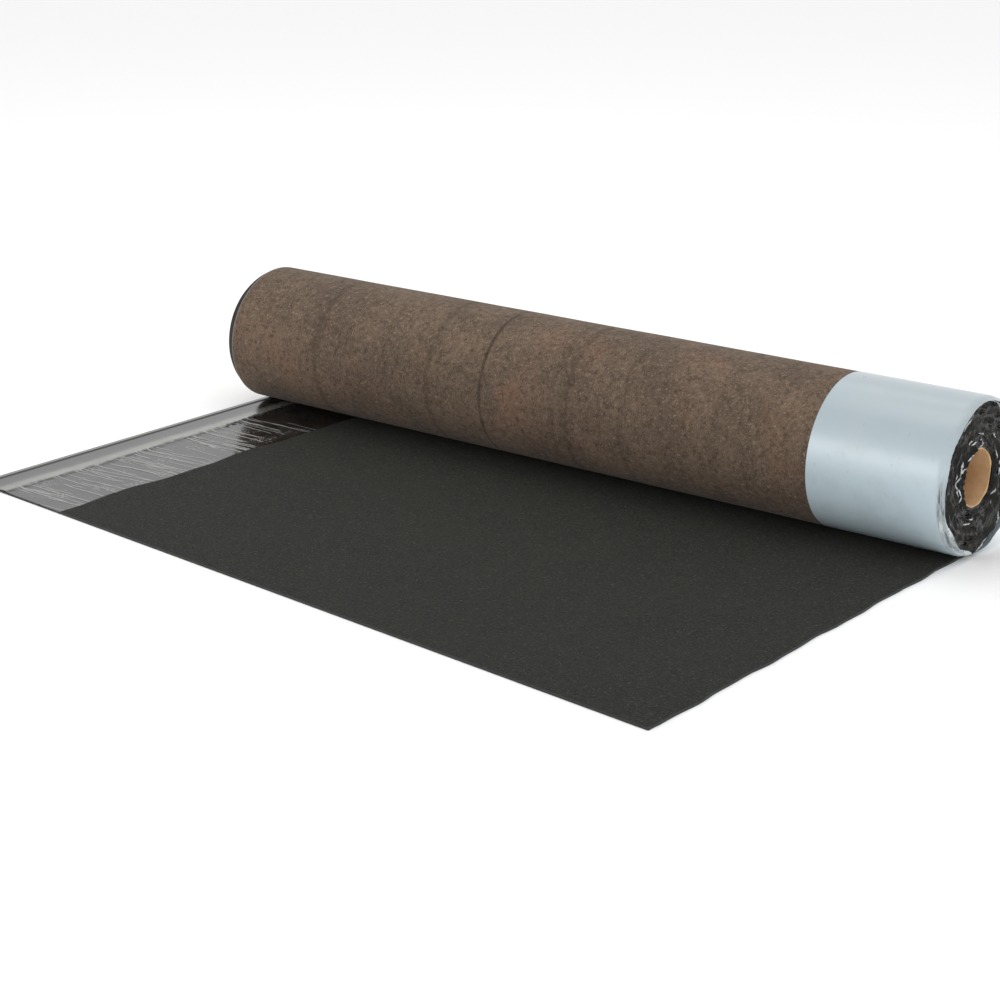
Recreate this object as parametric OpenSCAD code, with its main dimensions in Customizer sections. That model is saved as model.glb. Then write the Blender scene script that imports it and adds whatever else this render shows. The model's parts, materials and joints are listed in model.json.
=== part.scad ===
// A partly unrolled roll of self-adhesive bitumen roofing felt on its cardboard core.
// Millimetres, +Z up. The roll lies along X on a level surface. Its outer turn runs out
// towards -Y as a flat tail, granules up. The origin is the bottom centre of the bounding box.

/* [Sheet] */
// Width of the felt, along the roll
sheet_w = 1000; // [600:10:1200]
// Thickness of the felt where it carries granules
felt_t = 3; // [2:0.1:5]
// Length of the flat tail along its left edge
tail_left = 487; // [200:1:1000]
// Length of the flat tail along its right edge
tail_right = 574; // [200:1:1000]
// Depth of the waves in the tail's right edge
edge_wave = 3; // [0:0.5:6]

/* [Selvage] */
// Width of the bare strip without granules, along the left edge of the upper side
selvage_w = 160; // [60:5:250]
// How far the bare strip lies below the granules
granule_depth = 0.6; // [0.5:0.1:1.2]
// Depth of the waves in the line where the granules begin
selvage_wave = 8; // [0:0.5:10]

/* [Roll] */
// Turns of felt on the core
turns = 17; // [5:1:30]
// How far the roll's weight squeezes the sheet where the last turn meets the tail
nip_squeeze = 0.3; // [0.2:0.05:0.3]
// Width of the gap that shows between two turns on the ends
turn_gap = 0.4; // [0.2:0.1:1]
// Depth of that gap
turn_gap_depth = 2; // [0.5:0.5:6]

/* [Core tube] */
// Inside diameter of the cardboard tube
core_bore_d = 60; // [40:1:155]
// Wall of the cardboard tube
core_wall = 5; // [3:0.5:10]
// How far the tube stands past the felt at each end
core_overhang = 5; // [0:1:30]

/* [Films] */
// Thickness of the release film and of the clear selvage film
film_t = 0.15; // [0.1:0.05:0.2]
// Width of felt that the release film covers, along the right edge of the underside
lap_film_w = 150; // [60:5:250]
// How far the release film stands past the felt on the roll's right end
film_overhang = 12; // [4:1:20]

/* [Hidden] */
$fn = 180;

core_r = core_bore_d / 2;
felt_bore_r = core_r + core_wall;
roll_r = felt_bore_r + turns * felt_t;

// The spiral is drawn with half circles about two centres, one for each side of the roll.
back_centre_z = roll_r;
front_centre_z = roll_r + felt_t / 2;
// The outermost front half is a little larger, by the squeeze at the nip.
outer_front_centre_z = roll_r + (felt_t - nip_squeeze) / 2;
outer_front_r = roll_r - (felt_t - nip_squeeze) / 2;

left_x = -sheet_w / 2;
right_x = sheet_w / 2;
lowest_x = left_x - core_overhang;
highest_x = right_x + max(film_overhang, core_overhang);
film_left_x = right_x - lap_film_w;
selvage_right_x = left_x + selvage_w;
tail_max = max(tail_left, tail_right);
// Points along a waved edge, and how far from the roll its waves reach their full depth
wave_steps = 40;
wave_fade = 60;
// Larger than anything that it cuts
span = 4 * (roll_r + tail_max);

// Moves the roll's own frame, with the tail's end of the roll at y = 0, to the bounding box's
// bottom centre.
module placed() {
    translate([-(lowest_x + highest_x) / 2, (tail_max - roll_r) / 2, 0]) children();
}

// A section drawn in (y, z), extruded along X from one x to another.
module along_roll(from_x, to_x) {
    translate([from_x, 0, 0]) rotate([90, 0, 90])
        linear_extrude(height = to_x - from_x) children();
}

// The half of a section that lies behind the roll's lowest line.
module back_half() {
    intersection() {
        children();
        translate([0, -span / 2]) square(span);
    }
}

// The half of a section that lies in front of the roll's lowest line.
module front_half() {
    intersection() {
        children();
        translate([-span, -span / 2]) square(span);
    }
}

// Section of the whole roll, with its skin taken in by inset.
module roll_section(inset) {
    back_half() translate([0, back_centre_z]) circle(roll_r - inset);
    front_half() translate([0, outer_front_centre_z]) circle(outer_front_r - inset);
}

// One half circle of the gap between turns, as a thin half ring.
module gap_arc(centre_z, radius) {
    translate([0, centre_z]) difference() {
        circle(radius + turn_gap / 2);
        circle(radius - turn_gap / 2);
    }
}

// The spiral gap between all the turns.
module turn_gaps() {
    for (turn = [1 : turns - 1]) {
        back_half() gap_arc(back_centre_z, roll_r - turn * felt_t);
        front_half() gap_arc(front_centre_z, roll_r - (turn + 0.5) * felt_t);
    }
}

// A slow and a quick wave together, from 0 to 1, at a distance d in front of the roll. They
// fade out under the roll.
function waves(d, slow, quick, start = 0) =
    let (fade = min(1, d / wave_fade))
    fade * (0.5 + 0.32 * sin(slow * d + start) + 0.18 * sin(quick * d + 50));

// Plan of the whole tail before its right edge gets its waves. The front is cut straight, but
// not square.
module straight_tail_plan() {
    polygon([[left_x, 0], [left_x, -tail_left], [right_x, -tail_right], [right_x, 0]]);
}

// Plan of the part of the tail that lies to the right of from_x, with its waved right edge.
module tail_plan(from_x) {
    intersection() {
        straight_tail_plan();
        polygon([
            [from_x, 0],
            [from_x, -tail_max],
            for (i = [wave_steps : -1 : 0])
                let (d = tail_max * i / wave_steps) [right_x - edge_wave * waves(d, 2.9, 6.7), -d]
        ]);
    }
}

// Plan of the bare selvage strip, with the waved line where the granules begin.
module selvage_plan() {
    intersection() {
        straight_tail_plan();
        polygon([
            [left_x, 0],
            [left_x, -tail_max],
            for (i = [wave_steps : -1 : 0])
                let (d = tail_max * i / wave_steps)
                [selvage_right_x - selvage_wave * waves(d, 1.76, 3.5, 64), -d]
        ]);
    }
}

// The felt: one sheet, wound on the core and running out as the tail. Its skin is taken in by the
// film's thickness under the release film.
module felt_sheet() {
    color([0.19, 0.19, 0.17]) placed() {
        difference() {
            union() {
                along_roll(left_x, film_left_x) roll_section(0);
                along_roll(film_left_x, right_x) roll_section(film_t);
            }
            along_roll(left_x - 1, right_x + 1)
                translate([0, back_centre_z]) circle(felt_bore_r);
            along_roll(left_x - 1, left_x + turn_gap_depth) turn_gaps();
            along_roll(right_x - turn_gap_depth, right_x + 1) turn_gaps();
        }
        difference() {
            linear_extrude(height = felt_t) tail_plan(left_x);
            translate([0, 0, felt_t - granule_depth])
                linear_extrude(height = felt_t) selvage_plan();
            translate([0, 0, film_t - felt_t])
                linear_extrude(height = felt_t) tail_plan(film_left_x);
        }
    }
}

// The cardboard tube that the felt is wound on.
module core_tube() {
    color([0.72, 0.55, 0.36]) placed()
        along_roll(left_x - core_overhang, right_x + core_overhang)
            translate([0, back_centre_z]) difference() {
                circle(felt_bore_r);
                circle(core_r);
            }
}

// The pale release film on the adhesive strip of the underside: round the outside of the roll,
// where it stands past the felt, and on under the tail. Over the tail it ends on the granules.
module lap_release_film() {
    color([0.75, 0.80, 0.82]) placed() {
        difference() {
            along_roll(film_left_x, right_x + film_overhang) roll_section(0);
            along_roll(film_left_x - 1, right_x + film_overhang + 1) roll_section(film_t);
            translate([film_left_x - 1, -span, -span])
                cube([lap_film_w + 1, span, span + felt_t]);
        }
        linear_extrude(height = film_t) tail_plan(film_left_x);
    }
}

// The clear film on the bare strip of the tail's upper side.
module selvage_film() {
    color([0.55, 0.56, 0.55]) placed()
        translate([0, 0, felt_t - granule_depth])
            linear_extrude(height = film_t) selvage_plan();
}

felt_sheet();
core_tube();
lap_release_film();
selvage_film();
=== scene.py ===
# %% [markdown]
# A partly unrolled roll of bitumen roofing felt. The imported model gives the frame: where the roll's
# axis lies, how wide the sheet is and how far its tail runs out. Everything below takes its place
# from that frame, in metres, so the finished pieces sit exactly where the plain solids were.

# %% Load the frame
import json
import math
import bmesh
import bpy
import numpy as np
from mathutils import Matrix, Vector, noise


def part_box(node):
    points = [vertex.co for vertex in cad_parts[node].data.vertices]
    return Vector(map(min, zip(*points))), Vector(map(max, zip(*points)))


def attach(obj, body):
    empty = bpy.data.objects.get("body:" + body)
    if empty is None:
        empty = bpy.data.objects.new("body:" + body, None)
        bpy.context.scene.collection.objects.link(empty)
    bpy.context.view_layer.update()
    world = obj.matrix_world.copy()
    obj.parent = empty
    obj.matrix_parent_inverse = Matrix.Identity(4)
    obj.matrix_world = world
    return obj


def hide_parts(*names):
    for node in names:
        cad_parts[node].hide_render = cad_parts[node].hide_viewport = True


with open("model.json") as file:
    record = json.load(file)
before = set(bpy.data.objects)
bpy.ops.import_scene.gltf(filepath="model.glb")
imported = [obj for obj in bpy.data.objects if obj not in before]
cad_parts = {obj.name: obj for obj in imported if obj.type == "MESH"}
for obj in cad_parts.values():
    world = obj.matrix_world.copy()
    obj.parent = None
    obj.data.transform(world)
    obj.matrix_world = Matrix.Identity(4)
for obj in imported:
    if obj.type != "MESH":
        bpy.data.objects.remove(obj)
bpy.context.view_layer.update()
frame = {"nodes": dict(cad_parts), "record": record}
scene = bpy.context.scene
print("solids:", sorted(frame["nodes"]))

# %% [markdown]
# The sizes of the roll. The core's bore is the one mount with an axis, so it gives the roll's centre
# line. The roll rests on the floor, so its radius is the height of that line. Only thicknesses, which
# no box shows, are repeated here from the solids.

# %% Sizes taken from the frame
MM = 0.001
mounts = {mount["name"]: mount for mount in frame["record"]["mounts"]}
_, axis_y, axis_z = mounts["core_bore"]["pos_m"]
core_r = mounts["core_bore"]["dims"]["r_mm"] * MM
sheet_low, sheet_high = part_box("felt_sheet")
tube_low, tube_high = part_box("core_tube")
lap_low, lap_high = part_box("lap_release_film")
selvage_low, selvage_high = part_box("selvage_film")

roll_r = axis_z
core_outer_r = (tube_high.z - tube_low.z) / 2
felt_t = 3.0 * MM
film_t = 0.15 * MM
granule_depth = 0.6 * MM
nip_squeeze = 0.3 * MM
turns = round((roll_r - core_outer_r) / felt_t)
left_x, right_x = sheet_low.x, sheet_high.x
film_left_x, film_right_x = lap_low.x, lap_high.x
selvage_x = selvage_high.x
print(f"roll {2 * roll_r:.3f} across, {turns} turns, core {2 * core_outer_r:.3f}, bore {2 * core_r:.3f}")

# %% [markdown]
# The tail's outline. Its front is one straight cut, a little out of square: the selvage film's front
# corner and the sheet's front corner both lie on it. Its right edge and the line where the granules
# begin are slightly waved, by the same rule as the solids.

# %% Outline of the tail
front_slope = (sheet_low.y - selvage_low.y) / (right_x - selvage_x)
EDGE_WAVE = 3 * MM
SELVAGE_WAVE = 8 * MM
WAVE_FADE = 60 * MM


def tail_length(x):
    """Distance from the roll's lowest line to the front cut, at x."""
    return axis_y - (selvage_low.y + front_slope * (x - selvage_x))


def waves(d, slow, quick, start=0):
    """A slow and a quick wave together, from 0 to 1, at a distance d in front of the roll."""
    fade = min(1.0, d / WAVE_FADE)
    slow_wave = 0.32 * math.sin(math.radians(slow * d / MM + start))
    quick_wave = 0.18 * math.sin(math.radians(quick * d / MM + 50))
    return fade * (0.5 + (slow_wave + quick_wave))


def right_edge(d):
    """Where the tail's right edge runs, at a distance d in front of the roll."""
    return right_x - EDGE_WAVE * waves(d, 2.9, 6.7)


def granule_line(d):
    """Where the granules begin, at a distance d in front of the roll."""
    return selvage_x - SELVAGE_WAVE * waves(d, 1.76, 3.5, 64)


print(f"tail {tail_length(left_x):.3f} long on the left, {tail_length(right_x):.3f} on the right")

# %% [markdown]
# Shader maths as plain expressions. A Value wraps one output socket, so that `1 - mask` adds its own
# Math node. Finish.node makes every other node: it sets the node's settings and fills its inputs.

# %% Shader expressions
def linear(red, green, blue):
    """A colour given as 0-255 screen values, as the linear RGBA that shaders take."""
    def channel(c):
        c /= 255
        return c / 12.92 if c <= 0.04045 else ((c + 0.055) / 1.055) ** 2.4
    return (channel(red), channel(green), channel(blue), 1.0)


class Value:
    """One output socket, with sums written as plain expressions."""

    def __init__(self, finish, socket):
        self.finish, self.socket = finish, socket

    def math(self, operation, *others):
        return self.finish.math(operation, self, *others)

    def __add__(self, other):
        return self.math("ADD", other)

    def __sub__(self, other):
        return self.math("SUBTRACT", other)

    def __mul__(self, other):
        return self.math("MULTIPLY", other)

    def __truediv__(self, other):
        return self.math("DIVIDE", other)

    def __rsub__(self, other):
        return self.finish.math("SUBTRACT", other, self)

    __radd__ = __add__
    __rmul__ = __mul__

    def ramp(self, low, high):
        """0 below low, 1 above high and smooth between; the other way round where low is above high."""
        return self.finish.node(
            "ShaderNodeMapRange", {"interpolation_type": "SMOOTHSTEP"}, {0: self, 1: low, 2: high})


class Finish:
    """A material whose nodes are built by expressions."""

    def __init__(self, name, **constants):
        self.material = bpy.data.materials.new(name)
        self.material.use_nodes = True
        self.tree = self.material.node_tree
        self.surface = self.tree.nodes["Principled BSDF"]
        for socket, value in constants.items():
            self.surface.inputs[socket.replace("_", " ")].default_value = value
        self.place = self.node("ShaderNodeTexCoord", output="Object")
        split = self.node("ShaderNodeSeparateXYZ", inputs={0: self.place}, output=None)
        self.x, self.y, self.z = (Value(self, out) for out in split.outputs)

    def node(self, kind, settings=None, inputs=None, output=0):
        """Adds a node; returns the Value of one output, or the node itself where output is None."""
        made = self.tree.nodes.new(kind)
        for name, value in (settings or {}).items():
            setattr(made, name, value)
        for key, value in (inputs or {}).items():
            if isinstance(value, Value):
                self.tree.links.new(value.socket, made.inputs[key])
            else:
                made.inputs[key].default_value = value
        return made if output is None else Value(self, made.outputs[output])

    def math(self, operation, *values):
        return self.node("ShaderNodeMath", {"operation": operation}, dict(enumerate(values)))

    def noise(self, scale, detail=3.0, roughness=0.55, place=None):
        return self.node("ShaderNodeTexNoise", None, {
            "Vector": place or self.place, "Scale": scale, "Detail": detail, "Roughness": roughness})

    def attribute(self, name):
        """A measure that the piece's mesh carries at each point."""
        return self.node("ShaderNodeAttribute", {"attribute_name": name}, output="Fac")

    def stretched(self, x, y, z):
        """Object coordinates scaled along each axis."""
        return self.node("ShaderNodeVectorMath", {"operation": "MULTIPLY"}, {0: self.place, 1: (x, y, z)})

    def mix(self, factor, first, second):
        inputs = {0: factor, 6: first, 7: second}
        return self.node("ShaderNodeMix", {"data_type": "RGBA"}, inputs, output=2)

    def tint(self, mask, *screen_colour):
        """Lays a 0-255 screen colour over the finish's colour so far, as far as the mask says."""
        self.colour = self.mix(mask, self.colour, linear(*screen_colour))

    def bump(self, height, distance, strength=1.0, under=None):
        inputs = {"Height": height, "Distance": distance, "Strength": strength}
        if under:
            inputs["Normal"] = under
        return self.node("ShaderNodeBump", None, inputs)

    def feed(self, **links):
        for socket, value in links.items():
            self.tree.links.new(value.socket, self.surface.inputs[socket.replace("_", " ")])
        return self.material


# %% [markdown]
# Coordinates that go round the roll: how far a point lies from the axis, and its angle. Both are
# worked out from Object coordinates, so a pattern follows the roll's turns without any UV map.

# %% Roll coordinates for finishes
def around_roll(finish):
    """(radius, turn) Values of a point: its distance from the axis and its angle as a share of a turn."""
    across = finish.y - axis_y
    up = finish.z - axis_z
    radius = (across * across + up * up).math("SQRT")
    turn = up.math("ARCTAN2", across) / (2 * math.pi)
    return radius, turn


# %% [markdown]
# The granules on the sheet's upper side: crushed slate about a millimetre across, pressed into the
# bitumen. A Voronoi pattern gives each grain its own shade and its own little dome, and a slower
# noise makes the faint cloudiness of a sprinkled surface.

# %% Finish: granules
def granule_finish():
    f = Finish("slate_granules", Roughness=0.9, Specular_IOR_Level=0.25)
    grains = f.node("ShaderNodeTexVoronoi", None, {"Vector": f.place, "Scale": 780.0}, output=None)
    shade = f.node("ShaderNodeSeparateColor", None, {0: Value(f, grains.outputs["Color"])}, output=None)
    tone, painted_sparkle = Value(f, shade.outputs[0]), Value(f, shade.outputs[1])
    clouds = f.noise(9.0, 4.0)
    patches = f.noise(260.0, 2.0, 0.6)
    f.colour = f.mix(tone, linear(23, 24, 21), linear(49, 50, 45))
    # Painted glints: about one grain in a hundred is painted pale, for the sparkle of the slate.
    f.tint(painted_sparkle.ramp(0.985, 0.995) * 0.35, 112, 112, 100)
    f.tint(clouds.ramp(0.3, 0.7) * 0.3, 44, 45, 40)
    f.tint(patches.ramp(0.42, 0.3) * 0.5, 20, 21, 19)
    f.tint(patches.ramp(0.6, 0.72) * 0.35, 70, 71, 64)
    domes = 1 - Value(f, grains.outputs["Distance"]) * 1.2
    return f.feed(Base_Color=f.colour, Normal=f.bump(domes + tone * 0.6, 0.5 * MM, 0.85))


# %% [markdown]
# The sheet's underside, which is the roll's outside: a brown fleece with sand in it. Its colour
# drifts slowly, and it is full of light flecks, short fibres and dark pits a millimetre or two long.
# A few soft dark bands run round it, where the sheet went over the winder. Each band has its place
# along the roll, its half width and its strength, and a noise breaks it up. The left edge, which has
# wandered in by up to DRIFT, is a little paler.

# %% Finish: underside
WINDER_BANDS = (
    (152 * MM, 7 * MM, 0.35), (332 * MM, 7 * MM, 0.35), (412 * MM, 3.5 * MM, 0.65),
    (516 * MM, 6 * MM, 0.2), (535 * MM, 8 * MM, 0.34), (612 * MM, 6 * MM, 0.25), (735 * MM, 9 * MM, 0.2))
DRIFT = 13 * MM


def underside_finish():
    f = Finish(
        "brown_underside", Roughness=0.95, Specular_IOR_Level=0.1, Sheen_Weight=0.06, Sheen_Roughness=0.5)
    drifts = f.noise(16.0, 4.0, 0.6)
    clumps = f.noise(150.0, 4.0, 0.7)
    fibres = f.noise(1.0, 3.0, 0.65, f.stretched(520, 210, 210))
    flecks = f.noise(420.0, 2.0, 0.6)
    grit = f.noise(900.0, 2.0)
    worn = f.noise(30.0, 3.0, 0.6)
    f.colour = f.mix(drifts.ramp(0.3, 0.7), linear(90, 76, 65), linear(106, 90, 76))
    f.tint(f.noise(11.0, 3.0).ramp(0.5, 0.75) * 0.5, 124, 94, 76)
    f.tint(clumps.ramp(0.5, 0.36) * 0.6, 66, 55, 46)
    f.tint(clumps.ramp(0.54, 0.66) * 0.4, 134, 115, 97)
    f.tint(flecks.ramp(0.6, 0.72) * 0.55, 160, 141, 121)
    f.tint(flecks.ramp(0.4, 0.3) * 0.6, 48, 40, 34)
    f.tint(fibres.ramp(0.6, 0.7) * 0.5, 150, 130, 112)
    f.tint(grit.ramp(0.62, 0.72) * 0.35, 170, 152, 134)
    for place, width, strength in WINDER_BANDS:
        off = (f.x + f.noise(12.0, 2.0) * 3 * MM - (left_x + place + 1.5 * MM)).math("ABSOLUTE")
        band = off.ramp(width, width * 0.2) * (0.35 + worn * 0.9) * strength
        f.tint(band, 46, 38, 32)
    _, turn = around_roll(f)
    wandered = ((turn + 0.25).math("FRACT") * math.pi).math("SINE") * DRIFT
    rim = (f.x - left_x - wandered).ramp(2.4 * MM, 1.2 * MM)
    f.tint(rim * 0.6, 128, 124, 116)
    relief = f.bump(grit + fibres * 0.8, 0.35 * MM, 0.8)
    relief = f.bump(drifts + clumps * 0.4, 1.2 * MM, 0.5, relief)
    return f.feed(Base_Color=f.colour, Normal=relief)


# %% [markdown]
# Bare bitumen: black, a little glossy and never quite even. It is the sheet's cut edges, and the bed
# of the selvage under its clear film.

# %% Finish: bitumen
def bitumen_finish():
    f = Finish("black_bitumen", Specular_IOR_Level=0.5)
    lumps = f.noise(120.0, 4.0)
    streaks = f.noise(1.0, 3.0, 0.6, f.stretched(60, 60, 900))
    f.colour = f.mix(lumps.ramp(0.35, 0.7), linear(16, 16, 16), linear(38, 37, 35))
    f.tint(streaks.ramp(0.6, 0.75) * 0.3, 92, 90, 84)
    relief = f.bump(lumps + streaks * 0.5, 0.6 * MM, 0.7)
    return f.feed(Base_Color=f.colour, Roughness=0.35 + lumps * 0.4, Normal=relief)


# %% [markdown]
# The ends of the wound turns. Seen on its edge, each turn is a thin brown line of fleece, a thick
# black layer of bitumen and a thin grey line of granules. Which of these a point lies in follows from
# its distance to the axis and its angle, because each turn lies one thickness further in.

# %% Finish: ends of the turns
def turn_end_finish():
    f = Finish("turn_ends", Specular_IOR_Level=0.4)
    radius, turn = around_roll(f)
    layer = ((roll_r - radius) / felt_t - turn + f.noise(70.0, 2.0) * 0.3).math("FRACT")
    lumps = f.noise(300.0, 3.0)
    f.colour = f.mix(lumps, linear(17, 17, 17), linear(44, 43, 41))
    f.tint(layer.ramp(0.16, 0.08) * 0.7, 88, 74, 62)
    f.tint(layer.ramp(0.84, 0.9) * 0.7, 78, 79, 74)
    f.tint(radius.ramp(roll_r - 5 * MM, roll_r - 4 * MM), 13, 13, 13)
    relief = f.bump(lumps + layer, 0.5 * MM, 0.7)
    return f.feed(Base_Color=f.colour, Roughness=0.45 + lumps * 0.35, Normal=relief)


# %% [markdown]
# The release film: pale blue-grey plastic with a soft sheen. Its colour drifts between a cool blue
# and a warmer grey, and it has a few black specks of bitumen, faint handling scratches and a thin
# darker line where it starts on the brown fleece. It is painted paler below than on top, which is
# painted light for the way the light falls on the film. Its free edge is creased low down in front,
# and there pale and dark streaks run round it: painted highlights and painted shade of its crinkles.

# %% Finish: release film
def release_film_finish():
    f = Finish("release_film", Specular_IOR_Level=0.5, Coat_Roughness=0.3, Coat_Weight=0.75)
    drift = f.noise(6.0, 2.0)
    haze = f.noise(45.0, 4.0)
    specks = f.node("ShaderNodeTexVoronoi", None, {"Vector": f.place, "Scale": 42.0}, output=None)
    spot = Value(f, specks.outputs["Distance"]).ramp(0.045, 0.025)
    chosen = f.node("ShaderNodeSeparateColor", None, {0: Value(f, specks.outputs["Color"])}, output=0)
    scratch = f.noise(1.0, 1.0, 0.4, f.stretched(190, 70, -70))
    f.colour = f.mix(drift.ramp(0.35, 0.65), linear(153, 169, 176), linear(163, 172, 176))
    # Painted light: the film is painted paler from its top down to just below the axis, for the way the
    # light falls on it.
    f.tint(f.z.ramp(axis_z + 72 * MM, axis_z - 10 * MM), 196, 213, 220)
    f.tint(haze.ramp(0.45, 0.7) * 0.2, 162, 176, 184)
    f.tint(scratch.ramp(0.74, 0.78) * 0.25, 138, 147, 153)
    low_front = f.y.ramp(axis_y + 5 * MM, axis_y - 15 * MM) * f.z.ramp(axis_z + 30 * MM, axis_z)
    free = f.x.ramp(right_x + 2 * MM, right_x + 5.5 * MM) * low_front
    creased = f.noise(1.0, 3.0, 0.6, f.stretched(300, 34, 34))
    f.tint(free * 0.75, 132, 141, 145)
    # Painted shade and painted highlights: on the crinkled free edge, dark streaks stand in for the shade
    # between its folds and pale ones for their glints.
    f.tint(free * creased.ramp(0.46, 0.34) * 0.9, 52, 58, 60)
    f.tint(free * creased.ramp(0.52, 0.6) * 0.8, 216, 222, 224)
    f.tint(spot * chosen.ramp(0.86, 0.88), 36, 36, 36)
    start = f.x.ramp(film_left_x + 1.2 * MM, film_left_x + 0.5 * MM)
    f.tint(start * 0.65, 84, 84, 80)
    relief = f.bump(haze + drift * 3, 0.5 * MM, 0.2)
    return f.feed(Base_Color=f.colour, Roughness=0.24 + haze * 0.12, Normal=relief)


# %% [markdown]
# The film's edge on each turn, crushed over the end of the roll and smeared with bitumen. It is black
# and glossy in places, dull and brownish in others, and painted blackest in the mouth round the core,
# which is painted shade for the deep shadow there.

# %% Finish: crushed film
def crushed_film_finish():
    f = Finish("crushed_film", Specular_IOR_Level=0.24)
    patches = f.noise(48.0, 4.0)
    creases = f.noise(110.0, 3.0, 0.5)
    radius, _ = around_roll(f)
    mouth = radius.ramp(core_outer_r + 9 * MM, core_outer_r + 2 * MM)
    f.colour = f.mix(patches.ramp(0.35, 0.65), linear(5, 6, 6), linear(33, 31, 26))
    # Painted shade: near the bore the face is painted almost black, for the deep shadow in the mouth round
    # the core.
    f.tint(mouth, 6, 6, 6)
    gloss = patches.ramp(0.65, 0.4)
    relief = f.bump(creases * 0.4 + patches, 0.6 * MM, 0.25)
    return f.feed(Base_Color=f.colour, Roughness=0.46 - gloss * 0.3, Normal=relief)


# %% [markdown]
# Film inside those crushed edges, painted whitish as painted highlights for the glints of the
# creased film. It is glossy too, with thin smears of black.

# %% Finish: film painted as highlights
def painted_glint_film_finish():
    f = Finish("clean_film", Specular_IOR_Level=0.6)
    smears = f.noise(240.0, 3.0)
    # Painted highlights: the film is painted whitish, with black smears, for the glints of the crushed
    # film.
    f.colour = f.mix(smears.ramp(0.5, 0.62), linear(206, 211, 211), linear(92, 96, 97))
    return f.feed(Base_Color=f.colour, Roughness=0.2 + smears * 0.2, Normal=f.bump(smears, 0.3 * MM, 0.5))


# %% [markdown]
# The clear film on the selvage. It lies flat on black bitumen, so it looks black from above and turns
# to a bright mirror at a low angle. A high refractive index does that by itself: two faces of a thin
# film reflect about twice as much as one. Its wrinkles and a line beside its long fold are painted
# white, as painted highlights, and the strip beside the fold is painted paler, a painted reflection.
# The notches at the fold get painted shade. Three measures on the mesh say where that is: the
# distance from the fold, how far each point is painted white (painted highlights and white crumbs)
# and how far it is painted dark as shade. Beside its outer edge it has a thin pale line and a dull
# dark one.

# %% Finish: clear film
def clear_film_finish():
    f = Finish("clear_film", IOR=1.74, Specular_IOR_Level=0.5)
    mist = f.noise(30.0, 4.0)
    ripples = f.noise(1.0, 3.0, 0.5, f.stretched(20, 130, 20))
    from_fold, painted_glints_and_crumbs, painted_notch_shade = (f.attribute(name) for name in ("from_fold", "painted_glints_and_crumbs", "painted_notch_shade"))
    # Painted reflection: the strip beside the long fold is painted paler, for the surround mirrored in the
    # film as it rises to the fold.
    band = from_fold.ramp(-24 * MM, -12 * MM) * from_fold.ramp(0.5 * MM, -1.5 * MM)
    f.colour = f.mix(mist.ramp(0.4, 0.7), linear(14, 14, 14), linear(32, 32, 33))
    f.tint(band * (f.noise(14.0, 3.0) * 1.5 + 0.1), 116, 115, 108)
    # Painted highlights: the wrinkles and the line beside the fold are painted white, together with the
    # white crumbs.
    f.tint(painted_glints_and_crumbs, 176, 178, 174)
    # Painted shade in the notches where the wrinkles start.
    f.tint(painted_notch_shade, 12, 12, 12)
    from_edge = f.x - left_x
    pale = from_edge.ramp(5.5 * MM, 4 * MM) * from_edge.ramp(1 * MM, 2.5 * MM)
    dull = from_edge.ramp(13 * MM, 10.5 * MM) * from_edge.ramp(5 * MM, 6.5 * MM)
    f.tint(pale * 0.8, 120, 120, 116)
    f.tint(dull, 22, 22, 22)
    roughness = 0.1 + mist * 0.1 + (painted_glints_and_crumbs + painted_notch_shade) * 0.4 + dull * 0.6
    return f.feed(Base_Color=f.colour, Roughness=roughness, Normal=f.bump(ripples, 0.4 * MM, 0.12))


# %% [markdown]
# The core: kraft board wound in a helix. The helix shows as a fine seam that climbs along the tube,
# and the paper has a soft mottle.

# %% Finish: cardboard
def cardboard_finish():
    f = Finish("kraft_board", Roughness=0.85, Specular_IOR_Level=0.2)
    _, turn = around_roll(f)
    helix = (f.x / 0.11 + turn).math("FRACT")
    mottle = f.noise(60.0, 4.0)
    pulp = f.noise(600.0, 2.0)
    f.colour = f.mix(mottle.ramp(0.3, 0.7), linear(200, 164, 122), linear(216, 182, 142))
    f.tint(helix.ramp(0.02, 0.005) * 0.4, 140, 108, 76)
    return f.feed(Base_Color=f.colour, Normal=f.bump(pulp + mottle, 0.3 * MM, 0.5))


GRANULES, UNDERSIDE, BITUMEN = granule_finish(), underside_finish(), bitumen_finish()
TURN_ENDS, RELEASE_FILM, CRUSHED_FILM = turn_end_finish(), release_film_finish(), crushed_film_finish()
PAINTED_GLINT_FILM, CLEAR_FILM, CARDBOARD = painted_glint_film_finish(), clear_film_finish(), cardboard_finish()
print("finishes:", [material.name for material in bpy.data.materials])


# %% [markdown]
# Small builders that every modelled piece uses. A piece is a block of points, one row for each
# station along its path and one column for each place round its section, with four-sided faces
# between neighbours. A smooth noise gives the shapes that no rule gives.

# %% Mesh builders
def add_object(name, data):
    """A new object, placed in the scene."""
    made = bpy.data.objects.new(name, data)
    scene.collection.objects.link(made)
    return made


def print_size(name, mesh):
    """Prints how many points and triangles a mesh has."""
    triangles = sum(len(polygon.vertices) - 2 for polygon in mesh.polygons)
    print(f"{name}: {len(mesh.vertices)} points, {triangles} triangles")


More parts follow.
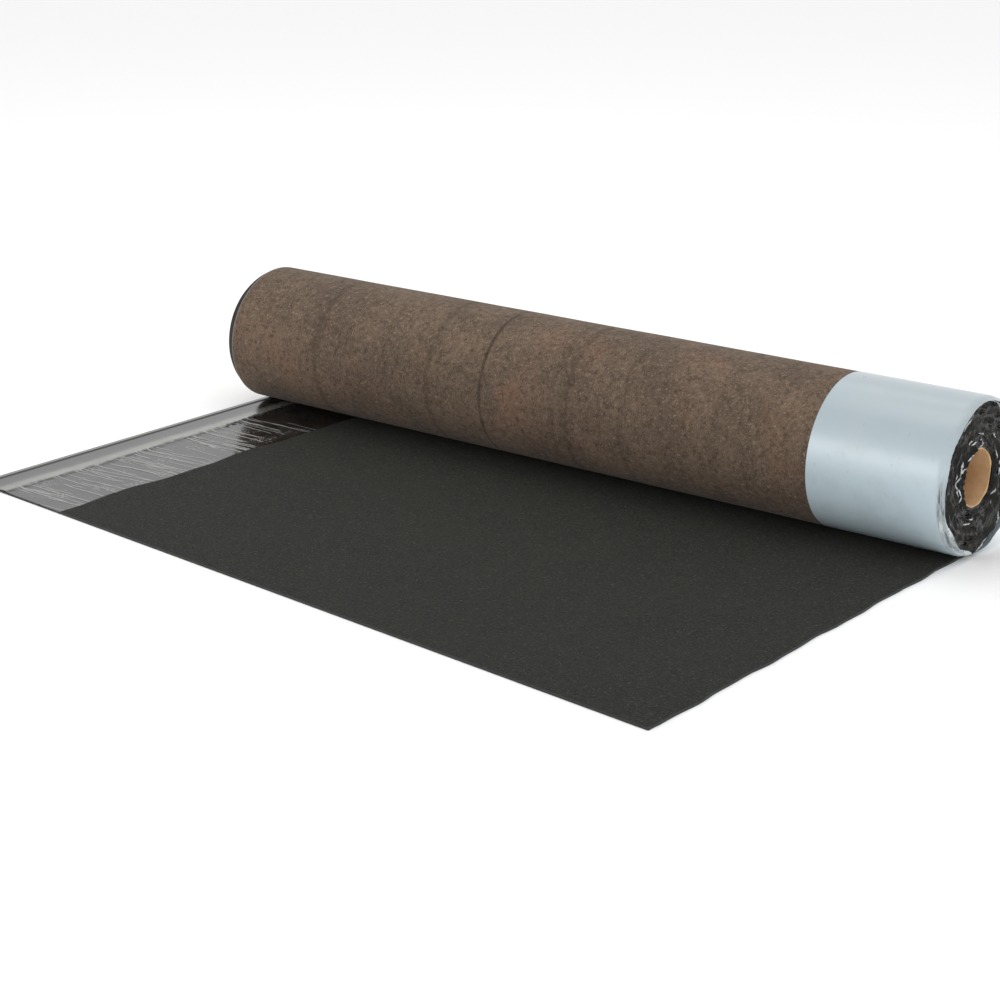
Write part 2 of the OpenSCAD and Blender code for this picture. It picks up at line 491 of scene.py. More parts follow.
def finish_mesh(name, verts, faces, materials, face_materials=None, sharp=35, measures=None):
    """A smooth-shaded object with its sharp edges kept, its normals outwards and one finish a face.
    Measures are numbers at the points, by name, for the finish to read."""
    mesh = bpy.data.meshes.new(name)
    mesh.from_pydata([tuple(v) for v in verts], [], faces)
    for measure, numbers in (measures or {}).items():
        mesh.attributes.new(measure, "FLOAT", "POINT").data.foreach_set("value", numbers)
    for material in materials:
        mesh.materials.append(material)
    if face_materials is not None:
        mesh.polygons.foreach_set("material_index", face_materials)
    tidy = bmesh.new()
    tidy.from_mesh(mesh)
    bmesh.ops.remove_doubles(tidy, verts=tidy.verts, dist=1e-6)
    bmesh.ops.recalc_face_normals(tidy, faces=tidy.faces)
    tidy.to_mesh(mesh)
    tidy.free()
    mesh.shade_smooth()
    mesh.set_sharp_from_angle(angle=math.radians(sharp))
    print_size(name, mesh)
    return add_object(name, mesh)


def skin(points, closed_rows=False, closed_columns=True):
    """Four-sided faces between the neighbours in a block of points [row, column, xyz]."""
    rows, columns = points.shape[:2]
    number = np.arange(rows * columns).reshape(rows, columns)
    row_ends = rows if closed_rows else rows - 1
    column_ends = columns if closed_columns else columns - 1
    faces = []
    for i in range(row_ends):
        for j in range(column_ends):
            a, b = (i + 1) % rows, (j + 1) % columns
            faces.append((number[i, j], number[a, j], number[a, b], number[i, b]))
    return [tuple(int(n) for n in face) for face in faces]


def fold(value, scale, seed=0.0):
    """A smooth noise from -1 to 1 at a point, for shapes that nothing else determines."""
    return noise.noise(Vector(value) * scale + Vector((seed, seed * 1.7, seed * 0.3)))


# %% [markdown]
# The sheet's outer turn and its tail are one strip. Its path starts at the front cut, runs flat to
# the roll's lowest line, climbs the back of the roll and comes down its front. At each station the
# strip's section is drawn as a closed ring: along the underside, round the right edge, back over the
# upper side with its step down to the selvage, and round the left edge. The turn also wanders along
# the roll, as wound sheets do, so that the turn below it shows as a black rim on the left.

# %% Stations of the outer turn
TAIL_STATIONS = 70
ARC_STATIONS = 90


def outer_stations():
    """(kind, share of the tail or angle) for each station along the strip."""
    tail = [("tail", i / TAIL_STATIONS) for i in range(TAIL_STATIONS)]
    back = [("back", -90 + 180 * i / ARC_STATIONS) for i in range(ARC_STATIONS)]
    front = [("front", 90 + 180 * i / ARC_STATIONS) for i in range(ARC_STATIONS + 1)]
    return tail + back + front


def drift(share):
    """How far the outer turn has wandered along the roll: none at the tail, most at the top."""
    return DRIFT * math.sin(math.radians(share + 90) / 2)


def on_path(kind, share, x, depth):
    """The point at x, at a depth inside the strip's underside."""
    if kind == "tail":
        return (x, axis_y - tail_length(x) * (1 - share), depth)
    angle = math.radians(share)
    x += drift(share) * (film_right_x - x) / (film_right_x - left_x)
    if kind == "back":
        centre, radius = axis_z, roll_r - depth
    else:
        centre = roll_r + (felt_t - nip_squeeze) / 2
        radius = roll_r - (felt_t - nip_squeeze) / 2 - depth
    return (x, axis_y + radius * math.cos(angle), centre + radius * math.sin(angle))


# %% The strip's section at one station
SELVAGE_COLUMNS = 26
GRANULE_COLUMNS = 110
EDGE_POINTS = (0.15, 0.5, 0.85)
SAG_EASE = 25


def nick(distance):
    """How deep the knife's nicks are in the right edge, at a distance in front of the roll."""
    spot = (0, distance, 0)
    return 0.9 * MM * abs(fold(spot, 160, 3.0)) + 0.6 * MM * abs(fold(spot, 420))


def sag(x, share):
    """How far the wound turn lies below its true round: none near the nip, and never outwards."""
    ease = min(1.0, (share + 90) / SAG_EASE) * min(1.0, (270 - share) / SAG_EASE)
    return max(0.0, ease * (0.25 * MM + 0.25 * MM * fold((x, 0.1 * math.sin(math.radians(share)), 0), 14)))


def section(kind, share):
    """Ring of points round the strip at one station."""
    distance = tail_length(0) * (1 - share) if kind == "tail" else 0.0
    right, line = right_edge(distance), granule_line(distance)
    xs = [left_x + (line - left_x) * i / SELVAGE_COLUMNS for i in range(SELVAGE_COLUMNS + 1)]
    xs += [line + (right - line) * i / GRANULE_COLUMNS for i in range(GRANULE_COLUMNS + 1)]
    under, upper = [], []
    for i, x in enumerate(xs):
        nicked = x - nick(distance) if kind == "tail" and i > len(xs) - 2 else x
        skin_depth = film_t if x > film_left_x else 0.0
        sunk = sag(x, share) if kind != "tail" else 0.0
        under.append(on_path(kind, share, nicked, skin_depth + sunk))
        step = granule_depth if kind == "tail" and i <= SELVAGE_COLUMNS else 0.0
        dome = 0.12 * MM * (fold((x, distance, 0), 22) - 1) if kind == "tail" else 0.0
        upper.append(on_path(kind, share, nicked, felt_t - step + min(0.0, dome)))
    first, last = under[0], under[-1]
    right_side = [tuple(a + (b - a) * e for a, b in zip(last, upper[-1])) for e in EDGE_POINTS]
    left_side = [tuple(a + (b - a) * e for a, b in zip(upper[0], first)) for e in EDGE_POINTS]
    return under + right_side + upper[::-1] + left_side


# %% Outer turn and tail
ring_columns = SELVAGE_COLUMNS + GRANULE_COLUMNS + 2
strip = np.array([section(kind, share) for kind, share in outer_stations()])
strip_faces = skin(strip)
ring_size = strip.shape[1]
edge_faces = len(EDGE_POINTS) + 1


def strip_material(column):
    """Finish of a column of faces: underside, cut edge, granules or the selvage's bitumen."""
    past_underside = column - (ring_columns - 1)
    if past_underside < 0:
        return 0
    return 1 if edge_faces <= past_underside < edge_faces + GRANULE_COLUMNS else 2


strip_materials = [strip_material(i % ring_size) for i in range(len(strip_faces))]
caps = []
for row in (0, strip.shape[0] - 1):
    base = row * ring_size
    top = [base + 2 * ring_columns + len(EDGE_POINTS) - 1 - i for i in range(ring_columns)]
    right_side, ring_end = base + ring_columns, base + ring_size
    for i in range(ring_columns - 1):
        caps.append((base + i, base + i + 1, top[i + 1], top[i]))
    caps.append((right_side - 1, *range(right_side, right_side + len(EDGE_POINTS)), top[-1]))
    caps.append((top[0], *range(ring_end - len(EDGE_POINTS), ring_end), base))
outer_sheet = finish_mesh(
    "felt_outer_turn", strip.reshape(-1, 3), strip_faces + caps, [UNDERSIDE, GRANULES, BITUMEN],
    strip_materials + [2] * len(caps))

# %% [markdown]
# The inner turns are the same sheet going on round. What shows of them is their edges, on both ends
# of the roll. Their path is a spiral of half circles about two centres, and Geometry Nodes sweep a
# rectangle along it, with its corners rounded, then push the edges in and out a little, because no
# winder lays every turn quite flush. On the left the turns also lean in near the top, by Lean at the
# full height and by little below the middle.

# %% Helper for node trees
def add_node(tree, kind, settings=None, inputs=None):
    """Adds a Geometry Nodes node, sets its settings and fills its inputs."""
    made = tree.nodes.new(kind)
    for name, value in (settings or {}).items():
        setattr(made, name, value)
    for key, value in (inputs or {}).items():
        if isinstance(value, bpy.types.NodeSocket):
            tree.links.new(value, made.inputs[key])
        else:
            made.inputs[key].default_value = value
    return made


def new_tree(name, **sizes):
    """A node tree with a geometry input and output and one named input for each size."""
    tree = bpy.data.node_groups.new(name, "GeometryNodeTree")
    tree.interface.new_socket("Geometry", in_out="INPUT", socket_type="NodeSocketGeometry")
    tree.interface.new_socket("Geometry", in_out="OUTPUT", socket_type="NodeSocketGeometry")
    for size, value in sizes.items():
        kind = "NodeSocketInt" if isinstance(value, int) else "NodeSocketFloat"
        tree.interface.new_socket(size.replace("_", " "), in_out="INPUT", socket_type=kind)
    return tree, tree.nodes.new("NodeGroupInput"), tree.nodes.new("NodeGroupOutput")


def bake_tree(source, tree, name, **sizes):
    """Runs a tree on an object with those sizes and returns the result as a plain mesh object."""
    modifier = source.modifiers.new("build", "NODES")
    modifier.node_group = tree
    for socket in tree.interface.items_tree:
        if socket.in_out == "INPUT" and socket.name.replace(" ", "_") in sizes:
            modifier[socket.identifier] = sizes[socket.name.replace(" ", "_")]
    result = source.evaluated_get(bpy.context.evaluated_depsgraph_get())
    mesh = bpy.data.meshes.new_from_object(result)
    mesh.name = name
    piece = add_object(name, mesh)
    bpy.data.objects.remove(source)
    print_size(name, mesh)
    return piece


def tree_math(tree, operation, *values):
    """Adds one Math node and returns its output."""
    return add_node(tree, "ShaderNodeMath", {"operation": operation}, dict(enumerate(values))).outputs[0]


def end_tree(tree, geometry, material, result):
    """Makes instances real, gives the shape its finish and sends it to the tree's output."""
    real = add_node(tree, "GeometryNodeRealizeInstances", None, {0: geometry})
    coated = add_node(
        tree, "GeometryNodeSetMaterial", None, {"Geometry": real.outputs[0], "Material": material})
    tree.links.new(coated.outputs[0], result.inputs[0])


# %% Tree that sweeps the sheet along its path
sweep_sizes = dict(
    Sheet_Width=right_x - left_x, Thickness=felt_t - 0.25 * MM, Corner=0.6 * MM, Unevenness=0.9 * MM,
    Lean=7 * MM, Height=2 * roll_r)
sweep, given, result = new_tree("sweep_sheet", **sweep_sizes)
rectangle = add_node(sweep, "GeometryNodeCurvePrimitiveQuadrilateral", {"mode": "RECTANGLE"}, {
    "Width": given.outputs["Sheet Width"], "Height": given.outputs["Thickness"]})
rounded = add_node(sweep, "GeometryNodeFilletCurve", {"mode": "POLY"}, {
    "Curve": rectangle.outputs[0], "Count": 2, "Radius": given.outputs["Corner"]})
swept = add_node(sweep, "GeometryNodeCurveToMesh", None, {
    "Curve": given.outputs["Geometry"], "Profile Curve": rounded.outputs[0], "Fill Caps": True})
wobble = add_node(sweep, "ShaderNodeTexNoise", None, {"Scale": 24.0, "Detail": 2.0})
scaled = tree_math(
    sweep, "MULTIPLY", tree_math(sweep, "SUBTRACT", wobble.outputs[0], 0.5), given.outputs["Unevenness"])
along = add_node(sweep, "ShaderNodeCombineXYZ", None, {"X": scaled})
moved = add_node(sweep, "GeometryNodeSetPosition", None, {
    "Geometry": swept.outputs[0], "Offset": along.outputs[0]})

# %% The same tree's lean, on the left end and near the top
spot = add_node(sweep, "GeometryNodeInputPosition")
parts = add_node(sweep, "ShaderNodeSeparateXYZ", None, {0: spot.outputs[0]})
on_left = tree_math(sweep, "LESS_THAN", parts.outputs[0], 0.0)
level = tree_math(sweep, "DIVIDE", parts.outputs[2], given.outputs["Height"])
leaning = tree_math(sweep, "MULTIPLY", tree_math(sweep, "POWER", level, 4.0), given.outputs["Lean"])
inwards = add_node(
    sweep, "ShaderNodeCombineXYZ", None, {"X": tree_math(sweep, "MULTIPLY", leaning, on_left)})
leaned = add_node(sweep, "GeometryNodeSetPosition", None, {
    "Geometry": moved.outputs[0], "Offset": inwards.outputs[0]})
end_tree(sweep, leaned.outputs[0], TURN_ENDS, result)

# %% Path of the inner turns
HALF_TURN_POINTS = 40


def spiral_path():
    """Points along the middle of the sheet, from under its outer turn to the core."""
    points = []
    for half in range(2, 2 * turns):
        depth = felt_t / 2 + (half // 2) * felt_t
        centre, radius = axis_z, roll_r - depth
        start = -90
        if half % 2:
            centre, radius, start = axis_z + felt_t / 2, roll_r - depth - felt_t / 2, 90
        for i in range(HALF_TURN_POINTS):
            angle = math.radians(start + 180 * i / HALF_TURN_POINTS)
            points.append((axis_y + radius * math.cos(angle), centre + radius * math.sin(angle)))
    return points


path = bpy.data.curves.new("turns_path", "CURVE")
path.dimensions = "3D"
spline = path.splines.new("POLY")
middle_x = (left_x + right_x) / 2
turn_points = spiral_path()
spline.points.add(len(turn_points) - 1)
for point, (y, z) in zip(spline.points, turn_points):
    point.co = (middle_x, y, z, 1)
inner_turns = bake_tree(add_object("turns_path", path), sweep, "felt_inner_turns", **sweep_sizes)
inner_turns.data.shade_smooth()
inner_turns.data.set_sharp_from_angle(angle=math.radians(40))
spread = np.array([vertex.co for vertex in inner_turns.data.vertices])
print("inner turns span", spread.min(axis=0).round(4), spread.max(axis=0).round(4))

# %% [markdown]
# Proud granules. The finish shows the even bed of small grains, so only the larger ones that stand up
# are real shapes: squashed eight-sided chips, scattered by Geometry Nodes over the granuled part of
# the tail with a fixed seed.

# %% Bed for the proud granules
def granule_bed():
    """A strip of faces over the granuled part of the tail, for the grains to be scattered on."""
    rows, columns = 60, 2
    block = np.zeros((rows, columns, 3))
    clear_of_roll = 14 * MM
    for i in range(rows):
        share = i / (rows - 1)
        for j in range(columns):
            reach = tail_length(0) * (1 - share)
            x = granule_line(reach) + 1 * MM if j == 0 else right_edge(reach) - 1.5 * MM
            y = axis_y - clear_of_roll - (tail_length(x) - clear_of_roll - 1.5 * MM) * (1 - share)
            block[i, j] = (x, y, felt_t - 0.25 * MM)
    return finish_mesh("granule_bed", block.reshape(-1, 3), skin(block, closed_columns=False), [GRANULES])


# %% Tree that scatters granules
grain_sizes = dict(Grains_per_square_metre=42000.0, Grain_Size=0.55 * MM, Seed=11)
scatter, given, result = new_tree("scatter_granules", **grain_sizes)
spots = add_node(scatter, "GeometryNodeDistributePointsOnFaces", None, {
    "Mesh": given.outputs["Geometry"], "Density": given.outputs["Grains per square metre"],
    "Seed": given.outputs["Seed"]})
chip = add_node(scatter, "GeometryNodeMeshUVSphere", None, {
    "Segments": 4, "Rings": 2, "Radius": given.outputs["Grain Size"]})
turned = add_node(scatter, "FunctionNodeRandomValue", {"data_type": "FLOAT_VECTOR"}, {
    0: (-0.5, -0.5, 0.0), 1: (0.5, 0.5, 2 * math.pi), "Seed": given.outputs["Seed"]})
sized = add_node(scatter, "FunctionNodeRandomValue", {"data_type": "FLOAT_VECTOR"}, {
    0: (0.7, 0.7, 0.45), 1: (1.5, 1.2, 0.8), "Seed": given.outputs["Seed"]})
placed = add_node(scatter, "GeometryNodeInstanceOnPoints", None, {
    "Points": spots.outputs[0], "Instance": chip.outputs[0],
    "Rotation": turned.outputs[0], "Scale": sized.outputs[0]})
end_tree(scatter, placed.outputs[0], GRANULES, result)
granules = bake_tree(granule_bed(), scatter, "proud_granules", **grain_sizes)

# %% [markdown]
# The release film on the roll. It covers the underside's right-hand strip, so it follows the same
# path as the outer turn, one film's thickness further out. Past the end of the felt it has nothing
# under it: that last stretch leans in, crinkles and ends in an uneven edge.

# %% Release film
LAP_COLUMNS = 30
RIM_COLUMNS = 16
RIM_LEAN = 4.5 * MM
FILM_FRONT_END = 262


def rim_shape(share_out, angle):
    """(x, depth) of the free edge: share_out runs from 0 at the felt's end to 1 at the film's edge."""
    around = (math.cos(angle), math.sin(angle), 0)
    reach = (film_right_x - right_x) * (0.93 + 0.07 * fold(around, 4, 2.0))
    low_front = max(0.0, math.cos(angle - math.radians(225))) ** 2
    bend = math.sin(share_out * math.pi / 2)
    lean = RIM_LEAN * (1.0 + 1.2 * low_front) * share_out ** 2 * (0.8 + 0.5 * fold(around, 2.5, 7.0))
    crinkle = 0.9 * MM * share_out * (fold(around, 22, 1.0) + 0.6 * fold(around, 60, 5.0))
    return right_x + reach * (share_out + (bend - share_out) * low_front), max(0.0, lean + crinkle)


def lap_point(kind, share, column, inner):
    """One point of the release film at a station; inner is 1 on the side that faces the felt."""
    distance = tail_length(0) * (1 - share) if kind == "tail" else 0.0
    on_felt = min(1.0, column / LAP_COLUMNS)
    felt_right = right_edge(distance) if kind == "tail" else right_x
    x = film_left_x + (felt_right - film_left_x) * on_felt
    depth = film_t * inner
    if column > LAP_COLUMNS:
        out = (column - LAP_COLUMNS) / RIM_COLUMNS
        if kind == "tail":
            x += 0.01 * MM * out
        else:
            grown = min(1.0, (share + 90) / 14)
            rim_x, rim_depth = rim_shape(out, math.radians(share))
            x += (rim_x - right_x) * grown
            depth += rim_depth * grown
    return on_path(kind, share, x, depth)


lap_stations = [s for s in outer_stations() if s[1] <= FILM_FRONT_END]
lap_block = np.array([
    [lap_point(kind, share, c, 0) for c in range(LAP_COLUMNS + RIM_COLUMNS + 1)]
    + [lap_point(kind, share, c, 1) for c in range(LAP_COLUMNS + RIM_COLUMNS, -1, -1)]
    for kind, share in lap_stations])
lap_film = finish_mesh("lap_release_film_skin", lap_block.reshape(-1, 3), skin(lap_block), [RELEASE_FILM])

# %% [markdown]
# The right-hand end of the roll. Every turn carries the same film past the end of the felt, and all
# those edges have been crushed together, so what shows is one crumpled black face with a ragged lip
# round the core. It is modelled as a ring of skin from the outer film to the bore: fine circular
# ridges from the turns, folds that run across them, and sharp creases from a folded noise.

# %% Crushed film edges
CRUSH_ROUND = 440
CRUSH_ACROSS = 78
CRUSH_DEPTH = 2.4 * MM
CRUSH_INNER_R = core_r + 0.6 * MM


def film_radius(angle):
    """Distance from the axis to the release film: the front half circle has its own centre."""
    if math.cos(angle) >= 0:
        return roll_r
    rise = (felt_t - nip_squeeze) / 2
    return rise * math.sin(angle) + math.sqrt((roll_r - rise) ** 2 - (rise * math.cos(angle)) ** 2)


def crushed_point(share, turn):
    """A point of the crumpled face: share from 0 at the outer film to 1 at the bore."""
    angle = 2 * math.pi * turn
    outer_r = film_radius(angle) - CRUSH_DEPTH
    radius = outer_r + (CRUSH_INNER_R - outer_r) * share
    spot = (radius * math.cos(angle), radius * math.sin(angle), 0)
    ridges = 0.12 * MM * math.sin(2 * math.pi * (radius / felt_t + turn) + 5 * fold(spot, 22, 4.0))
    across = (2.2 * math.cos(angle), 2.2 * math.sin(angle), 5 * share)
    folds = 3.0 * MM * (0.45 - abs(fold(across, 2.0, 9.0)) * 2)
    creases = 2.0 * MM * fold(spot, 38, 2.0)
    lip = 2.6 * MM * math.exp(-((share - 0.9) / 0.05) ** 2) * (0.7 + 0.9 * fold(spot, 75, 6.0))
    edge = 3.0 * MM * math.exp(-(share / 0.05) ** 2)
    height = right_x + 6.0 * MM + ridges + folds + creases + lip - edge
    over_tube = tube_high.x + 0.8 * MM
    mouth = min(1.0, max(0.0, share - 0.93) / 0.05)
    height += (over_tube + 0.6 * MM * fold(spot, 120, 3.0) - height) * mouth
    ragged = 1.0 + 0.07 * min(1.0, max(0.0, share - 0.9) / 0.1) * (0.6 + 0.6 * fold(spot, 85, 3.0))
    return (min(height, film_right_x), axis_y + spot[0] * ragged, axis_z + spot[1] * ragged)


crushed_block = np.array([
    [crushed_point(i / CRUSH_ACROSS, j / CRUSH_ROUND) for j in range(CRUSH_ROUND)]
    for i in range(CRUSH_ACROSS + 1)])
back_rows = crushed_block[::-CRUSH_ACROSS].copy()
back_rows[:, :, 0] = right_x - 0.2 * MM
crushed_block = np.concatenate([crushed_block, back_rows])
crushed_film = finish_mesh(
    "lap_film_edges", crushed_block.reshape(-1, 3), skin(crushed_block, closed_rows=True),
    [CRUSHED_FILM], sharp=50)

# %% [markdown]
# Here and there the crumpled face shows small bright creases, curved round the core and at the rim:
# whitish shapes put where the crushed film catches the light, so painted highlights. Geometry Nodes
# sweep a small round section along an arc for each, and the arc's radius makes it thick in its middle
# and pointed at its ends.

# %% Creases painted as highlights
CREASES = 32
CREASE_RINGS = (0.84, 0.7, 0.12)
CREASE_STEPS = 8
crease_sizes = dict(Crease_Radius=0.95 * MM)
creasing, given, result = new_tree("sweep_creases", **crease_sizes)
ring = add_node(creasing, "GeometryNodeCurvePrimitiveCircle", {"mode": "RADIUS"}, {
    "Resolution": 6, "Radius": given.outputs["Crease Radius"]})
swept = add_node(creasing, "GeometryNodeCurveToMesh", None, {
    "Curve": given.outputs["Geometry"], "Profile Curve": ring.outputs[0], "Fill Caps": True,
    "Scale": add_node(creasing, "GeometryNodeInputRadius").outputs[0]})
smooth = add_node(creasing, "GeometryNodeSetShadeSmooth", None, {"Geometry": swept.outputs[0]})
end_tree(creasing, smooth.outputs[0], PAINTED_GLINT_FILM, result)

arcs = bpy.data.curves.new("crease_arcs", "CURVE")
arcs.dimensions = "3D"
crease_draw = np.random.default_rng(8)
for _ in range(CREASES):
    share = crease_draw.choice(CREASE_RINGS) + crease_draw.uniform(-0.08, 0.08)
    turn = crease_draw.uniform(0, 1)
    swing, slope = crease_draw.uniform(0.025, 0.06), crease_draw.uniform(-0.1, 0.1)
    arc = arcs.splines.new("POLY")
    arc.points.add(CREASE_STEPS)
    for k, point in enumerate(arc.points):
        along = k / CREASE_STEPS - 0.5
        x, y, z = crushed_point(share + slope * along, turn + swing * along)
        point.co = (min(x + 0.6 * MM, film_right_x - MM), y, z, 1)
        point.radius = 0.12 + 0.88 * math.cos(math.pi * along) ** 0.7
film_creases = bake_tree(add_object("crease_arcs", arcs), creasing, "lap_film_creases", **crease_sizes)

# %% [markdown]
# The clear film on the selvage. Its outer part is a smooth strip, then comes a low fold that runs the
# whole length, and from the fold to the granules the film has gathered into thin cross wrinkles. Each
# wrinkle is a narrow ridge with its own seeded place, slant, height and ends. The heights are worked
# out for the whole grid at once, with numpy, and so is how far each point is painted white: painted
# highlights along the creased film.

# %% Wrinkles of the clear film
WRINKLES = 86
FOLD_SHARE = 0.35
FOLD_HEIGHT = 1.6 * MM
CLEAR_ROWS = 900
OUTER_COLUMNS, WRINKLE_COLUMNS = 14, 46
wrinkle_draw = np.random.default_rng(5)
wrinkle_rows = [
    dict(
        reach=wrinkle_draw.uniform(0.1, 1.0) ** 0.75, slant=wrinkle_draw.normal(0.03, 0.06),
        height=wrinkle_draw.uniform(0.25, 0.7) * MM, width=wrinkle_draw.uniform(0.65, 1.1) * MM,
        start=wrinkle_draw.uniform(-0.5, 0.6), length=wrinkle_draw.uniform(0.15, 1.3),
        bend=wrinkle_draw.uniform(0, 9))
    for _ in range(WRINKLES)]


# %% Grid of the clear film
def noise_along(distances, scale, seed):
    """The smooth noise at each distance in front of the roll."""
    return np.array([fold((0, distance, 0), scale, seed) for distance in distances])


column_shares = np.concatenate([
    np.linspace(0, FOLD_SHARE - 0.03, OUTER_COLUMNS, endpoint=False),
    np.linspace(FOLD_SHARE - 0.03, 1, WRINKLE_COLUMNS + 1)])
row_shares = np.linspace(0, 1, CLEAR_ROWS + 1)
column_x = left_x + (selvage_x - left_x) * column_shares
reaches = np.array([[tail_length(x) * r for x in column_x] for r in row_shares])
edge_reaches = reaches[:, 0]

# %% The long fold
fold_shares = FOLD_SHARE + 0.02 * noise_along(edge_reaches, 7, 3.0) + 0.012 * abs(
    noise_along(edge_reaches, 75, 5.0))
inside = (column_shares[None, :] - fold_shares[:, None]) / (1 - fold_shares[:, None])
outer_rise = np.clip((column_shares[None, :] - 0.14) / (fold_shares[:, None] - 0.14), 0, 1) ** 2
crest = (0.75 + 0.5 * noise_along(edge_reaches, 110, 2.0))[:, None]
inner_fall = crest * np.exp(-(np.maximum(inside, 0) / 0.05) ** 2)
heights = FOLD_HEIGHT * np.where(inside <= 0, outer_rise, inner_fall)
print("fold at", (fold_shares.min().round(3), fold_shares.max().round(3)), "of the selvage's width")


# %% Heights and painted highlights of the wrinkles
def wander(bend):
    """How far a wrinkle strays from its straight line, at each column."""
    return np.array([
        2.2 * MM * fold((x, bend, 0), 24) + 0.8 * MM * fold((x, bend, 0), 90) for x in column_x])


painted_glints_and_crumbs = np.zeros_like(heights)
for w in wrinkle_rows:
    straight = w["reach"] * tail_length(column_x.mean()) + w["slant"] * (selvage_x - column_x)
    line = straight + wander(w["bend"])
    away = (reaches - line[None, :]) / w["width"]
    begun = np.clip((inside - w["start"]) / 0.06, 0, 1)
    ended = np.clip((w["start"] + w["length"] - inside) / 0.1, 0, 1)
    ends = begun * ended * (inside > 0)
    heights += w["height"] * ends * np.exp(-away ** 2)
    # Each wrinkle's crest gets a painted highlight, paler for a higher wrinkle.
    paleness = 0.38 + 0.85 * w["height"] / MM
    painted_glints_and_crumbs = np.maximum(painted_glints_and_crumbs, ends * np.exp(-(away / 0.8) ** 2) * paleness)
print("wrinkle heights up to", round(float(heights.max()) / MM, 2), "mm")

# %% Crumbs, the painted highlight beside the fold, and its notches
crumbs = np.array([
    [fold((x, 1.7 * reach, 0), 330, 6.0) * fold((x, reach, 0), 26, 1.0) for x, reach in zip(column_x, row)]
    for row in reaches])
painted_glints_and_crumbs = np.maximum(painted_glints_and_crumbs, (inside > 0.02) * np.clip((crumbs - 0.12) * 8, 0, 0.4))
# Painted highlight: a white line painted along the fold.
painted_fold_glint = np.exp(-(inside / 0.012) ** 2) * 0.7
# Painted shade: the painted highlights fade out towards the roll, which shades the film.
painted_roll_shade = np.clip((reaches - 0.03) / 0.14, 0.12, 1)
painted_glints_and_crumbs = np.clip(np.maximum(painted_glints_and_crumbs, painted_fold_glint) * painted_roll_shade, 0, 1)
notches = np.clip(1 - np.abs(inside - 0.025) / 0.03, 0, 1) * np.clip(
    noise_along(edge_reaches, 120, 4.0) * 4, 0, 1)[:, None]
heights -= 0.8 * FOLD_HEIGHT * notches
# Painted shade in the notches.
painted_notch_shade = np.clip(notches * (inside > 0), 0, 1)
print("whitened share", round(float((painted_glints_and_crumbs > 0.3).mean()), 3))


# %% Skin of the clear film
def clear_row(i):
    """One row of the film's upper face, from the left edge to the granules, at a share of the tail."""
    row = []
    for j, x_share in enumerate(column_shares):
        distance = float(reaches[i, j])
        x = left_x + (granule_line(distance) - 0.1 * MM - left_x) * x_share
        near_nip = min(1.0, max(0.0, distance - 12 * MM) / (20 * MM))
        edge_fade = min(1.0, x_share / 0.01, (1 - x_share) / 0.012)
        rise = max(0.0, float(heights[i, j])) * near_nip * edge_fade
        row.append((x, axis_y - distance, felt_t - granule_depth + film_t + rise))
    return row


clear_rows, fold_distances, glint_and_crumb_shares, notch_shade_shares = [], [], [], []
for i in range(CLEAR_ROWS + 1):
    upper = clear_row(i)
    clear_rows.append(upper + [(x, y, z - film_t * 0.8) for x, y, z in (upper[-1], upper[0])])
    from_fold = [(selvage_x - left_x) * (share - fold_shares[i]) for share in column_shares]
    fold_distances += from_fold + [from_fold[-1], from_fold[0]]
    glint_and_crumb_shares += [*painted_glints_and_crumbs[i], painted_glints_and_crumbs[i, -1], painted_glints_and_crumbs[i, 0]]
    notch_shade_shares += [*painted_notch_shade[i], 0, 0]
clear_block = np.array(clear_rows)
clear_film = finish_mesh(
    "selvage_film_skin", clear_block.reshape(-1, 3), skin(clear_block), [CLEAR_FILM], sharp=60,
    measures={"from_fold": fold_distances, "painted_glints_and_crumbs": glint_and_crumb_shares, "painted_notch_shade": notch_shade_shares})

# %% [markdown]
# The cardboard core: a plain tube, but its cut ends are soft. The plies show as shallow steps on the
# end, and the rim is a little bruised.

# %% Core tube
TUBE_ROUND = 128
ply = (core_outer_r - core_r) / 4


def tube_profile():
    """(x, radius) round the tube's wall: along the bore, over one end, back outside, over the other."""
    ends = [(-0.35 * MM * abs(k - 2), core_r + ply * k) for k in range(5)]
    bore = [(x, core_r) for x in np.linspace(tube_low.x + 1 * MM, tube_high.x - 1 * MM, 40)]
    outside = [(x, core_outer_r) for x in np.linspace(tube_high.x - 2 * MM, tube_low.x + 2 * MM, 12)]
    right_end = [(tube_high.x + dx, r) for dx, r in ends]
    left_end = [(tube_low.x - dx, r) for dx, r in reversed(ends)]
    return bore + right_end + outside + left_end


tube_rows = []
for x, radius in tube_profile():
    ring = []
    for j in range(TUBE_ROUND):
        angle = 2 * math.pi * j / TUBE_ROUND
        bruise = 0.25 * MM * fold((x, math.cos(angle), math.sin(angle)), 7)
        grown = radius + (bruise if radius < core_outer_r else min(0.0, bruise))
        ring.append((x, axis_y + grown * math.cos(angle), axis_z + grown * math.sin(angle)))
    tube_rows.append(ring)
tube_block = np.array(tube_rows)
core = finish_mesh(
    "core_tube_board", tube_block.reshape(-1, 3), skin(tube_block, closed_rows=True), [CARDBOARD])

# %% [markdown]
# Each finished piece rides on the one body, and the plain solid it stands for is hidden.

# %% Fasten the pieces to the frame
for piece, slot, node in (
        (outer_sheet, "felt", "felt_sheet"),
        (inner_turns, "felt", "felt_sheet"),
        (granules, "felt", "felt_sheet"),
        (lap_film, "release_film", "lap_release_film"),
        (crushed_film, "release_film", "lap_release_film"),
        (film_creases, "release_film", "lap_release_film"),
        (clear_film, "clear_film", "selvage_film"),
        (core, "core_cardboard", "core_tube")):
    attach(piece, "root")
    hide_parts(node)

# %% [markdown]
# The studio: a wide pale floor, an even white surround that the glossy film can mirror, a long narrow
# light behind that catches the film's wrinkles, a broad one overhead, and a soft one in front that
# models the roll.

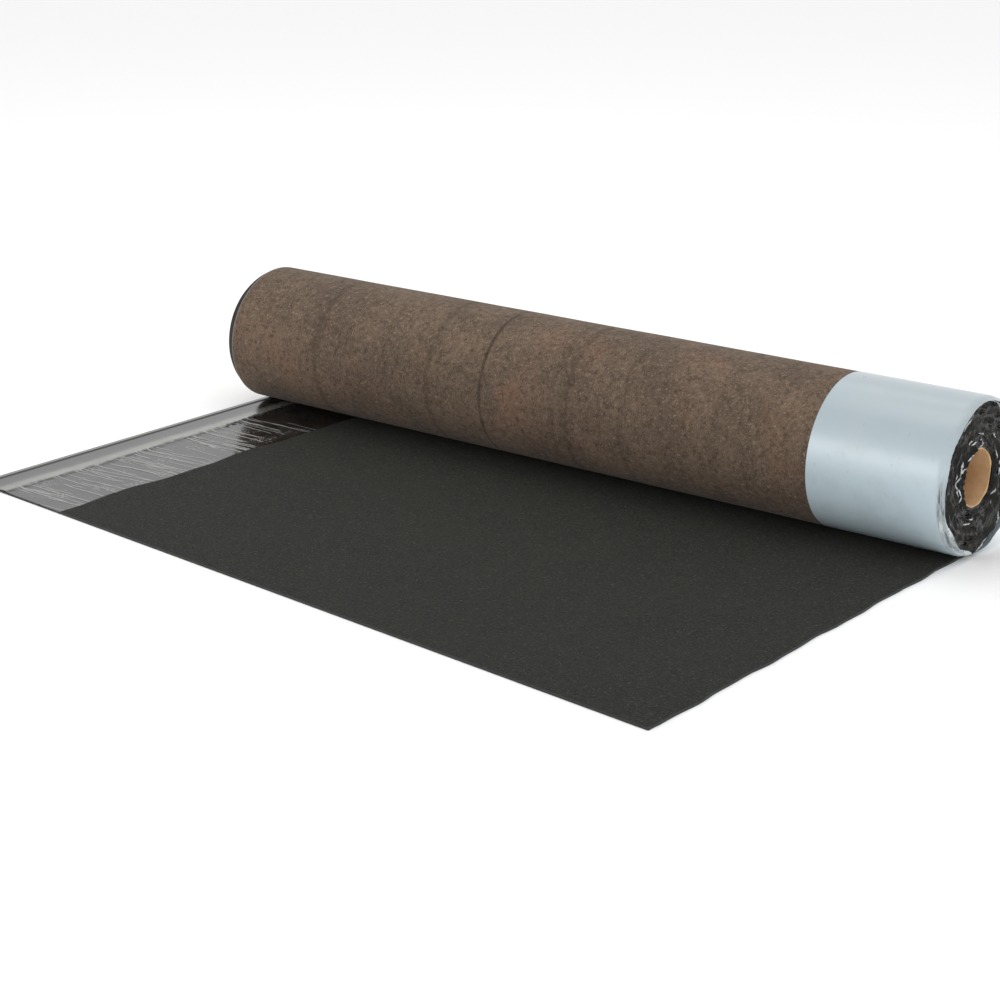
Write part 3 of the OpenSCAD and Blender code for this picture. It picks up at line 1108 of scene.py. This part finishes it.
# %% Floor, surround and lights
FLOOR_HALF = 14.0


def pale_floor():
    f = Finish("pale_floor", Roughness=0.9, Specular_IOR_Level=0.1)
    f.feed(Base_Color=f.mix(f.noise(3.0, 2.0) * 0.03, (0.96, 0.96, 0.96, 1), (0.94, 0.94, 0.94, 1)))
    corners = [(x * FLOOR_HALF, y * FLOOR_HALF, 0) for x, y in ((-1, -1), (1, -1), (1, 1), (-1, 1))]
    floor = finish_mesh("floor", corners, [(0, 1, 2, 3)], [f.material])


pale_floor()
world = bpy.data.worlds.new("white_surround")
world.use_nodes = True
world.node_tree.nodes["Background"].inputs["Color"].default_value = (1, 1, 1, 1)
world.node_tree.nodes["Background"].inputs["Strength"].default_value = 0.96
scene.world = world


def softbox(name, place, aim, width, depth, power):
    """A large rectangular light that faces its aim."""
    light = bpy.data.lights.new(name, "AREA")
    light.shape, light.size, light.size_y, light.energy = "RECTANGLE", width, depth, power
    box = add_object(name, light)
    box.location = place
    box.rotation_euler = (Vector(aim) - Vector(place)).to_track_quat("-Z", "Y").to_euler()


softbox("back_light", (-1.6, 1.9, 3.0), (-0.2, 0.0, 0), 2.4, 0.4, 5)
softbox("overhead_light", (0.0, 0.3, 3.0), (0, 0.1, 0), 2.4, 1.6, 14)
softbox("front_light", (-1.15, -2.3, 0.85), (0.45, 0.2, 0.08), 1.6, 1.1, 15)

# %% [markdown]
# The camera looks down on the roll's right-hand end from the front, with a long lens, and aims a
# little to the right of the middle.

# %% Camera
AZIMUTH, ELEVATION, DISTANCE = math.radians(38.677), math.radians(18.129), 2.375
LOOK_AT = Vector((0.0764, -0.0103, 0.040))
lens = bpy.data.cameras.new("camera")
lens.lens, lens.sensor_width = 80.36, 36.0
camera = add_object("camera", lens)
outward = math.cos(ELEVATION)
back = Vector((math.sin(AZIMUTH) * outward, -math.cos(AZIMUTH) * outward, math.sin(ELEVATION)))
camera.location = LOOK_AT + back * DISTANCE
camera.rotation_euler = (-back).to_track_quat("-Z", "Y").to_euler()
scene.camera = camera
scene.view_settings.view_transform = "Standard"
